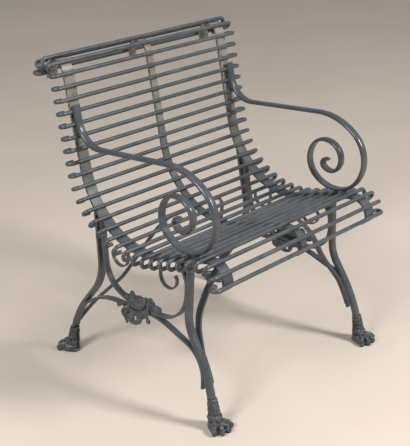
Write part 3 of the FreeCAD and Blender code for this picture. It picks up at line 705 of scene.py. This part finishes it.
# Toes, counted from the middle of the foot, and how much shorter the outer ones are
TOES = (-1.5, -0.5, 0.5, 1.5)
OUTER_TOE = 1.0
OUTER_TOE_SHORT = 0.0015

# A toe's knuckles and pads: distance short of its tip, height, radii and pitch in degrees
TOE_LUMPS = (
    (0.0205, 0.0145, (0.0064, 0.0120, 0.0100), 18.0),
    (0.0125, 0.0135, (0.0066, 0.0085, 0.0092), 10.0),
    (0.0080, 0.0075, (0.0066, 0.0080, 0.0072), 0.0),
    (0.0065, 0.0035, (0.0060, 0.0072, 0.0045), 0.0),
)

# A nail: distance past the toe's tip, height and radius
NAIL = (
    (-0.0070, 0.0145, 0.0030),
    (-0.0025, 0.0135, 0.0027),
    (0.0005, 0.0100, 0.0020),
    (0.0016, 0.0058, 0.0010),
)
NAIL_SIDES = 10

# The foot's instep, ball, sole and heel: place, radii and pitch in degrees
FOOT_LUMPS = (
    ((0.0, 0.003, 0.016), (0.0150, 0.0150, 0.0135), 0.0),
    ((0.0, -0.009, 0.009), (0.0235, 0.0240, 0.0165), 8.0),
    ((0.0, -0.014, 0.006), (0.0255, 0.0225, 0.0070), 0.0),
    ((0.0, 0.006, 0.004), (0.0150, 0.0125, 0.0060), 0.0),
)

# The channel for the leg: its width, back and height, then its front and its floor
HEEL_CHANNEL = Vector((0.0085, 0.030, 0.060))
HEEL_DEPTH = -0.002
HEEL_SOLE = 0.008


def cuff_share(z):
    """0 at the cuff's top and 1 at its foot."""
    return (CUFF_TOP - z) / (CUFF_TOP - CUFF_BOTTOM)


def cuff_spot(z):
    """Middle of the leaning cuff at a height."""
    return Vector((0.0, -PAW_STEP * cuff_share(z), z))


def cuff_radius(z):
    """Radius of the cuff at a height."""
    return CUFF_THIN + CUFF_SWELL * min(1.0, cuff_share(z) * CUFF_SWELL_RATE)


def add_cuff(shape, castings):
    """Adds the hairy cuff, the beads at its top and the collar with its spurs at its foot."""
    paint = finish_of("paws")
    heights = [CUFF_TOP - CUFF_LID - CUFF_STEP * step for step in range(CUFF_STEPS)]
    spots = [cuff_spot(z) for z in heights]
    add_tube(shape, spots, [cuff_radius(z) for z in heights], sides=CUFF_SIDES)
    add_ring(shape, Matrix.Translation(cuff_spot(CUFF_TOP - CROWN_DROP)), {**CROWN, "Paint": paint})
    for row in range(TUFT_ROWS):
        z = CUFF_TOP - TUFT_DROP - TUFT_STEP * row
        wander = TUFT_WANDER * math.sin(TUFT_WANDER_RATE * row)
        add_ring(shape, Matrix.Translation(cuff_spot(z)), {
            "Count": castings.tufts, "Ring Radius": cuff_radius(z) + TUFT_STANDS_OUT,
            "Turn": (row % 2 + wander) * math.pi / castings.tufts,
            "Lean": TUFT_LEAN, "Bead Size": TUFT_SIZE, "Paint": paint})
    slope = Matrix.Rotation(COLLAR_SLOPE, 4, "X")
    for rise, radius, thick in COLLARS:
        add_ring(shape, Matrix.Translation(cuff_spot(CUFF_BOTTOM + rise)) @ slope, {
            "Count": COLLAR_BEADS, "Ring Radius": radius,
            "Bead Size": (thick, COLLAR_BEAD_LENGTH, thick), "Paint": paint})
    root = cuff_spot(CUFF_BOTTOM + SPUR_RISE)
    for _, sign in reversed(SIDES):
        add_ball(shape, root + Vector((SPUR_OUT * sign, SPUR_BACK, SPUR_UP)), SPUR_RADII)


def add_toe(shape, angle, reach):
    """Adds one toe: a high knuckle, a rounded tip over its pad, and a curved nail."""
    ahead = Vector((math.sin(angle), -math.cos(angle), 0.0))
    foot = Vector((0.0, -PAW_STEP, 0.0))
    for short, height, radii, pitch in TOE_LUMPS:
        spot = foot + ahead * (reach - short) + Vector((0.0, 0.0, height))
        add_ball(shape, spot, radii, (math.radians(pitch), 0.0, angle))
    points = [foot + ahead * (reach + past) + Vector((0.0, 0.0, height)) for past, height, _ in NAIL]
    add_tube(shape, points, [radius for _, _, radius in NAIL], sides=NAIL_SIDES)


def paw_form(castings):
    """A lion's paw, with its heel open to the leg."""
    shape = bmesh.new()
    add_cuff(shape, castings)
    foot = Vector((0.0, -PAW_STEP, 0.0))
    for place, radii, pitch in FOOT_LUMPS:
        add_ball(shape, foot + Vector(place), radii, (math.radians(pitch), 0.0, 0.0))
    for place in TOES:
        outer = abs(place) > OUTER_TOE
        reach = castings.toe_reach - (OUTER_TOE_SHORT if outer else 0.0)
        add_toe(shape, place * castings.toe_fan, reach)
    mesh = open_heel(cast_mesh(shape, castings.grid))
    for vertex in mesh.vertices:
        vertex.co.z = max(vertex.co.z, 0.0)
    return mesh


def open_heel(mesh):
    """Cuts the upright channel at the heel, where the casting was slipped over the leg."""
    shape = bmesh.new()
    middle = Vector((0.0, 0.5 * (HEEL_CHANNEL.y + HEEL_DEPTH), HEEL_SOLE + 0.5 * HEEL_CHANNEL.z))
    size = Vector((HEEL_CHANNEL.x, HEEL_CHANNEL.y - HEEL_DEPTH, HEEL_CHANNEL.z))
    bmesh.ops.create_cube(shape, size=1.0, matrix=Matrix.LocRotScale(middle, None, size))
    channel = new_mesh("channel", shape)
    cutter = new_object("channel", channel)
    blank = new_object("paw", mesh)
    cut = blank.modifiers.new("cut", "BOOLEAN")
    cut.operation = "DIFFERENCE"
    cut.solver = "EXACT"
    cut.object = cutter
    result = evaluated(blank)
    for item in (cutter, blank):
        bpy.data.objects.remove(item)
    bpy.data.meshes.remove(channel)
    bpy.data.meshes.remove(mesh)
    return result


class ARMCHAIR_OT_paws(bpy.types.Operator):
    """Make the four cast lion paws"""

    bl_idname = "armchair.paws"
    bl_label = "Lion Paws"

    def execute(self, context):
        form = paw_form(context.scene.armchair_castings)
        for end, turn, splay in PAW_ENDS:
            for side, sign in SIDES:
                node = f"{end}_paw_{side}"
                low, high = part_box(node)
                leg_low, leg_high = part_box(f"{end}_leg_{side}")
                out = max(abs(leg_low.x), abs(leg_high.x)) - LEG_HALF_WIDTH
                heel = high.y - RING_RADIUS if end == "front" else low.y + RING_RADIUS
                aim = Matrix.Rotation(turn + sign * math.radians(splay), 4, "Z")
                mesh = form.copy()
                mesh.transform(Matrix.Translation((sign * out, heel, 0.0)) @ aim)
                paw = new_piece(f"{node}_casting", mesh, "paws")
                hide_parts(node)
                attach(paw, "root")
        bpy.data.meshes.remove(form)
        return {"FINISHED"}


# Medallions, in a frame with X out of the chair, Y to the back and Z up

# How the medallion leans with the chair's side, and its seat on the stretchers
MEDALLION_TILT = math.radians(9.0)
FRAME_LEAN = math.radians(3.3)
MEDALLION_SEAT_FROM_BOX = Vector((0.0, 0.0060, -0.0005))
STRETCHER_GAP = 0.0001


@dataclass
class Bar:
    """A bar in millimetres: its points along and up, its radius at each, and how far out it lies."""

    points: tuple
    radii: tuple
    out: float
    flat: float = 0.85

    def add(self, shape):
        places = [Vector((self.out * MM, along * MM, up * MM)) for along, up in self.points]
        sizes = [radius * MM for radius in self.radii]
        add_tube(shape, smooth_line(places), smooth_sizes(sizes), flat=self.flat)


@dataclass
class Boss:
    """A boss in millimetres: its middle and radii along and up, how far out it lies, and half its depth."""

    middle: tuple
    radii: tuple
    out: float
    depth: float
    turn: float = 0.0

    def add(self, shape):
        along, up = self.middle
        length, height = self.radii
        centre = (self.out * MM, along * MM, up * MM)
        radii = (self.depth * MM, length * MM, height * MM)
        add_ball(shape, centre, radii, (math.radians(self.turn), 0.0, 0.0))


def ring_points(centre, wide, tall, start, end, count):
    """Points round an ellipse, in millimetres and degrees."""
    points = []
    for step in range(count):
        angle = math.radians(start + (end - start) * step / (count - 1))
        points.append((centre[0] + wide * math.cos(angle), centre[1] + tall * math.sin(angle)))
    return tuple(points)


def loop(centre, wide, tall, radius, out, start=0.0, end=360.0, count=13):
    """A bar of one thickness that is bent round an ellipse."""
    return Bar(ring_points(centre, wide, tall, start, end, count), (radius,) * count, out)


# Plates behind the openwork, as (middle, radii)
PLATE_OUT = 2.8
PLATE_DEPTH = 2.9
PLATES = (
    ((2, 13), (38, 18)),
    ((20, -10), (20, 9)),
    ((-20, -5), (18, 10)),
    ((-46, 20), (17, 11)),
    ((48, -19), (14, 13)),
    ((52, 3), (9, 6)),
    ((28, -27), (10, 11)),
    ((-4, -25), (7, 9)),
    ((12, -36), (16, 4.5)),
    ((-20, -13), (13, 9)),
    ((0, 29), (34, 5)),
    ((-66, 12), (16, 9)),
    ((2, -8), (20, 8)),
)

# Two lips under the shell, and over it the crest with its rib, two beads and the hinge's bar
SHELL_FRAME = (
    Bar(((37, 8), (30, 1), (20, -5), (8, -9), (-6, -10), (-19, -7), (-31, 0)),
        (2.2, 3.0, 3.4, 3.6, 3.4, 3.0, 2.4), 6.2),
    Bar(((27, -9), (19, -14), (8, -17), (-5, -16), (-16, -11)), (2.4, 2.8, 3.0, 2.8, 2.2), 5.0),
    Boss((13, 33), (8.5, 11), 4.8, 5.0, -6.0),
    Bar(((16, 24), (13, 34), (11, 42)), (2.6, 2.6, 1.8), 8.5),
    Boss((-13, 32.5), (4.6, 4.2), 5.0, 4.2),
    Boss((-34, 31), (4.4, 5.0), 5.0, 4.2),
    Bar(((-4, 29), (-14, 29), (-26, 28), (-36, 26)), (3.0, 2.6, 2.8, 3.2), 6.0),
)

# The volute at the top front with its eye, then the leaf round the stretchers, with its rib and ends
VOLUTE_LINE = (ring_points((-51, 26), 8.8, 8.8, -70.0, 175.0, 11)
               + ring_points((-52.5, 26), 5.2, 5.2, 200.0, 330.0, 5))
VOLUTE_START = 3.6
VOLUTE_THINS = 0.10
VOLUTE_RADII = tuple(VOLUTE_START - VOLUTE_THINS * step for step in range(len(VOLUTE_LINE)))
FRONT_LEAVES = (
    Bar(VOLUTE_LINE, VOLUTE_RADII, 6.2),
    Boss((-52, 26.5), (6.0, 6.0), 4.5, 4.0),
    Boss((-52, 26.5), (3.4, 3.4), 8.0, 3.4),
    Boss((-68, 11.5), (16, 9.0), 4.0, 5.2, 4.0),
    Bar(((-54, 20), (-66, 19), (-78, 15)), (3.0, 3.2, 2.2), 7.0),
    Bar(((-80.5, 20), (-82, 13), (-81, 6)), (2.4, 2.8, 2.4), 5.2),
    Bar(((-38, 22), (-41, 12), (-36, 2)), (3.4, 3.8, 3.6), 7.2),
)

# The loop at the back, the bar beside it, the ball and its stem, and the ring and eye of the rosette
BACK_LEAVES = (
    loop((41, 1.5), 6.4, 7.0, 2.4, 5.8),
    Bar(((33, 12), (31, 2), (33, -8)), (2.2, 2.4, 2.2), 6.0),
    Boss((65, 0), (6.6, 6.2), 5.2, 5.0),
    Bar(((47, 7), (55, 5), (63, 2)), (3.0, 3.6, 3.6), 5.0),
    loop((46, -17.5), 8.0, 7.4, 2.5, 6.2, -20.0, 250.0, 11),
    Boss((45, -17), (3.4, 3.2), 7.4, 3.6),
)

# Petals round the rosette, as (angle in degrees, width), from their roots to their tips
ROSETTE = (46.0, -17.5)
PETAL_ROOT = (8.5, 8.0)
PETAL_TIP = (14.0, 13.0)
PETAL_TAPER = 0.75
PETAL_OUT = 4.8
PETAL_FLAT = 0.8
PETALS = ((95, 3.6), (135, 4.0), (175, 4.2), (215, 4.2), (255, 4.0), (-60, 3.8), (-20, 3.6))

# The pointed leaf that hangs from the rosette
POINTED_LEAF = Bar(((45, -30), (43.5, -37), (42, -44.5)), (4.6, 4.4, 1.4), 4.5)

# The bottom's wide loop and its two bars, the small rosette, the stalk with its bud, and a twig
BOTTOM_LEAVES = (
    Bar(((38, -31), (29, -36), (18, -38.5), (8, -37), (0, -31), (-4, -24)),
        (4.0, 4.4, 4.6, 4.4, 3.8, 3.4), 5.0),
    Bar(((23, -12), (19, -22), (20, -33)), (4.6, 4.4, 4.6), 5.0),
    Bar(((5, -14), (2, -22), (3, -32)), (4.2, 4.0, 4.4), 5.0),
    loop((-12.5, -15.5), 7.0, 6.6, 2.4, 5.8, 60.0, 330.0, 11),
    Boss((-12.5, -15), (3.6, 3.4), 7.2, 3.8),
    Boss((-12, -14), (8, 7), 2.6, 2.7),
    Bar(((-27, -2), (-30, -11), (-33, -20)), (4.6, 4.2, 4.0), 5.6),
    Boss((-34.5, -25), (6.4, 5.8), 5.6, 5.2),
    Bar(((-18, -5), (-24, -2), (-33, 6)), (3.2, 3.4, 3.4), 6.4),
)

# The shell: its hinge along and up, its fan to each side of straight down, its reach and its thickness
SHELL_HINGE = (0.002, 0.0275)
SHELL_SWEEP = math.radians(100.0)
SHELL_HALF_LENGTH = 0.0375
SHELL_DROP = 0.0310
SHELL_BACK = 0.001
SHELL_FACE = 0.0035

# Its dome and ribs. Middle, reach and root are shares of the way from the hinge to the rim
DOME_RISE = 0.0088
DOME_MIDDLE = 0.45
DOME_REACH = 0.60
RIB_RISE = 0.0030
RIB_ROOT = 0.15
RIM_LEAST = 0.95
RAYS_TO_A_RIB = 8
SHELL_RINGS = 14

# Share of a rib's height that is left at the shell's front, where it is most worn
RIB_LEFT = 0.35


def petal(angle, width):
    """A petal of the rosette."""
    away = math.radians(180 - angle)
    step = Vector((math.cos(away), math.sin(away)))
    root = (ROSETTE[0] + PETAL_ROOT[0] * step.x, ROSETTE[1] + PETAL_ROOT[1] * step.y)
    tip = (ROSETTE[0] + PETAL_TIP[0] * step.x, ROSETTE[1] + PETAL_TIP[1] * step.y)
    return Bar((root, tip), (width, width * PETAL_TAPER), PETAL_OUT, PETAL_FLAT)


def shell_spot(share, out, ribs):
    """A point of the shell's face. Share goes round the fan, and out goes from the hinge to the rim."""
    angle = SHELL_SWEEP * (1.0 - 2.0 * share)
    ripple = 0.5 + 0.5 * math.cos(2 * math.pi * ribs * share + math.pi)
    worn = RIB_LEFT + (1.0 - RIB_LEFT) * (1.0 - share)
    reach = 1.0 / math.hypot(math.sin(angle) / SHELL_HALF_LENGTH, math.cos(angle) / SHELL_DROP)
    reach *= RIM_LEAST + (1.0 - RIM_LEAST) * ripple
    dome = DOME_RISE * math.sqrt(max(0.0, 1.0 - ((out - DOME_MIDDLE) / DOME_REACH) ** 2))
    rib = RIB_RISE * ripple * worn * math.sin(math.pi * min(1.0, RIB_ROOT + out * (1.0 - RIB_ROOT)))
    return (
        SHELL_FACE + dome + rib,
        SHELL_HINGE[0] + reach * out * math.sin(angle),
        SHELL_HINGE[1] - reach * out * math.cos(angle))


def add_shell(shape, ribs):
    """Adds a ribbed shell that fans downwards from a hinge at its top."""
    rays = ribs * RAYS_TO_A_RIB
    grid = []
    for ray in range(rays + 1):
        spots = [shell_spot(ray / rays, ring / SHELL_RINGS, ribs) for ring in range(SHELL_RINGS + 1)]
        grid.append([shape.verts.new(spot) for spot in spots])
    for first, second in zip(grid, grid[1:]):
        for ring in range(SHELL_RINGS):
            shape.faces.new((first[ring], first[ring + 1], second[ring + 1], second[ring]))
    # The shell's flat back closes it
    back = [shape.verts.new((SHELL_BACK, line[-1].co.y, line[-1].co.z)) for line in grid]
    middle = shape.verts.new((SHELL_BACK, *SHELL_HINGE))
    for number in range(rays):
        shape.faces.new((grid[number][-1], back[number], back[number + 1], grid[number + 1][-1]))
        shape.faces.new((back[number], middle, back[number + 1]))
    for line, edge in ((grid[0], back[0]), (grid[-1], back[-1])):
        shape.faces.new([*line, edge, middle])


def medallion_form(castings):
    """An openwork rosette with a ribbed shell."""
    shape = bmesh.new()
    plates = [Boss(middle, radii, PLATE_OUT, PLATE_DEPTH) for middle, radii in PLATES]
    petals = [petal(angle, width) for angle, width in PETALS]
    for form in (*plates, *SHELL_FRAME):
        form.add(shape)
    add_shell(shape, castings.shell_ribs)
    for form in (*FRONT_LEAVES, *BACK_LEAVES, *petals, POINTED_LEAF, *BOTTOM_LEAVES):
        form.add(shape)
    return cast_mesh(shape, castings.grid)


class ARMCHAIR_OT_medallions(bpy.types.Operator):
    """Make the two shell medallions"""

    bl_idname = "armchair.medallions"
    bl_label = "Shell Medallions"

    def execute(self, context):
        form = medallion_form(context.scene.armchair_castings)
        lean = Matrix.Rotation(-FRAME_LEAN, 4, "Y")
        tilt = Matrix.Rotation(-MEDALLION_TILT, 4, "X")
        for side, sign in SIDES:
            node = f"medallion_{side}"
            low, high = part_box(node)
            middle = (low + high) / 2 + MEDALLION_SEAT_FROM_BOX
            # The stretchers' outer faces lean, so the seat is found at the middle's height
            bar_low, bar_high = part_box(f"lower_stretcher_{side}")
            reach = max(abs(bar_low.x), abs(bar_high.x))
            drop = middle.z - bar_low.z
            seat = Vector((reach - drop * math.tan(FRAME_LEAN) + STRETCHER_GAP, middle.y, middle.z))
            mirror = Matrix.Diagonal((sign, 1.0, 1.0, 1.0))
            mesh = form.copy()
            mesh.transform(mirror @ Matrix.Translation(seat) @ lean @ tilt)
            if sign < 0:
                mesh.flip_normals()
            medallion = new_piece(f"{node}_casting", mesh, "medallions")
            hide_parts(node)
            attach(medallion, "root")
        bpy.data.meshes.remove(form)
        return {"FINISHED"}


# Rods and bars, whose shapes are the CAD's own

class ARMCHAIR_OT_bars(bpy.types.Operator):
    """Give the rods, straps, arms, legs and braces their worn paint"""

    bl_idname = "armchair.bars"
    bl_label = "Rods and Bars"

    def execute(self, context):
        for part in frame["record"]["subparts"]:
            node = frame["nodes"][part["node"]]
            node.data.materials.clear()
            node.data.materials.append(finish_of(part["material_slot"]))
            for face in node.data.polygons:
                face.material_index = 0
        return {"FINISHED"}


# Floor, lamps, sky and camera

# The floor has pale and dull patches
FLOOR_CELLS = 8
FLOOR_TONE = Clouds(1.2, 5.0, 0.60)
FLOOR_TONES = (0.35, 0.65)
FLOOR_DULL = 0.94
FLOOR_ROUGHNESS = 0.85

# The light comes from a pale sky and two square lamps that face the seat
SKY_COLOUR = (0.96, 0.98, 1.0, 1.0)
LAMP_TARGET = Vector((0.0, 0.0, 0.4))
KEY_SIDE = 0.8
KEY_PLACE = Vector((1.2, -2.6, 2.6))
FILL_SIDE = 0.9
FILL_PLACE = Vector((-2.7, -0.3, 2.3))


class ARMCHAIR_OT_stage(bpy.types.Operator):
    """Make the floor, the lamps, the sky and the camera"""

    bl_idname = "armchair.stage"
    bl_label = "Studio"

    def execute(self, context):
        stage = context.scene.armchair_stage
        self.make_floor(stage)
        self.make_sky(context, stage)
        self.make_lamp("key", stage.key_power, KEY_SIDE, KEY_PLACE)
        self.make_lamp("fill", stage.fill_power, FILL_SIDE, FILL_PLACE)
        self.make_camera(context, stage)
        context.scene.view_settings.view_transform = "Standard"
        return {"FINISHED"}

    def make_floor(self, stage):
        shape = bmesh.new()
        bmesh.ops.create_grid(
            shape, x_segments=FLOOR_CELLS, y_segments=FLOOR_CELLS, size=stage.floor_radius)
        mesh = new_mesh("floor", shape)
        floor = new_object("floor", mesh)
        material = bpy.data.materials.new("floor")
        graph = empty_graph(material)
        place = graph.node("ShaderNodeTexCoord", out="Object")
        tone = graph.clouds(place, FLOOR_TONE).rise(*FLOOR_TONES)
        pale = tuple(stage.floor_colour)
        dull = tuple(FLOOR_DULL * value for value in pale[:3]) + (1.0,)
        shader = graph.node("ShaderNodeBsdfPrincipled", {}, {
            "Base Color": graph.blend(tone, dull, pale), "Roughness": FLOOR_ROUGHNESS})
        graph.node("ShaderNodeOutputMaterial", {}, {"Surface": shader})
        mesh.materials.append(material)

    def make_sky(self, context, stage):
        world = bpy.data.worlds.new("studio")
        context.scene.world = world
        graph = empty_graph(world)
        light = graph.node("ShaderNodeBackground", {}, {"Color": SKY_COLOUR, "Strength": stage.sky})
        graph.node("ShaderNodeOutputWorld", {}, {"Surface": light})

    def make_lamp(self, name, power, side, place):
        light = bpy.data.lights.new(name, "AREA")
        light.energy = power
        light.size = side
        lamp = new_object(name, light)
        lamp.location = place
        lamp.rotation_euler = (LAMP_TARGET - place).to_track_quat("-Z", "Y").to_euler()

    def make_camera(self, context, stage):
        lens = bpy.data.cameras.new("camera")
        lens.sensor_fit = "HORIZONTAL"
        lens.lens = lens.sensor_width * stage.focal_widths
        camera = new_object("camera", lens)
        camera.location = stage.eye
        camera.rotation_euler = (math.pi / 2 - stage.pitch, 0.0, -stage.yaw)
        context.scene.camera = camera


# Sidebar, and what the script does when it runs

class ARMCHAIR_PT_sidebar(bpy.types.Panel):
    """The chair's settings and steps"""

    bl_label = "Armchair"
    bl_idname = "ARMCHAIR_PT_sidebar"
    bl_space_type = "VIEW_3D"
    bl_region_type = "UI"
    bl_category = "Armchair"

    def draw(self, context):
        for setting, _ in SETTINGS:
            group = getattr(context.scene, setting)
            box = self.layout.box()
            for name in group.__annotations__:
                box.prop(group, name)
        for step in STEPS:
            self.layout.operator(step.bl_idname)


SETTINGS = (
    ("armchair_paint", ArmchairPaint),
    ("armchair_castings", ArmchairCastings),
    ("armchair_stage", ArmchairStage),
)
STEPS = (ARMCHAIR_OT_bars, ARMCHAIR_OT_paws, ARMCHAIR_OT_medallions, ARMCHAIR_OT_stage)


def register():
    for name, group in SETTINGS:
        bpy.utils.register_class(group)
        setattr(bpy.types.Scene, name, PointerProperty(type=group))
    for step in STEPS:
        bpy.utils.register_class(step)
    bpy.utils.register_class(ARMCHAIR_PT_sidebar)


def unregister():
    bpy.utils.unregister_class(ARMCHAIR_PT_sidebar)
    for step in reversed(STEPS):
        bpy.utils.unregister_class(step)
    for name, group in reversed(SETTINGS):
        delattr(bpy.types.Scene, name)
        bpy.utils.unregister_class(group)


def main():
    register()
    bpy.ops.armchair.bars()
    bpy.ops.armchair.paws()
    bpy.ops.armchair.medallions()
    bpy.ops.armchair.stage()


if __name__ == "__main__":
    main()
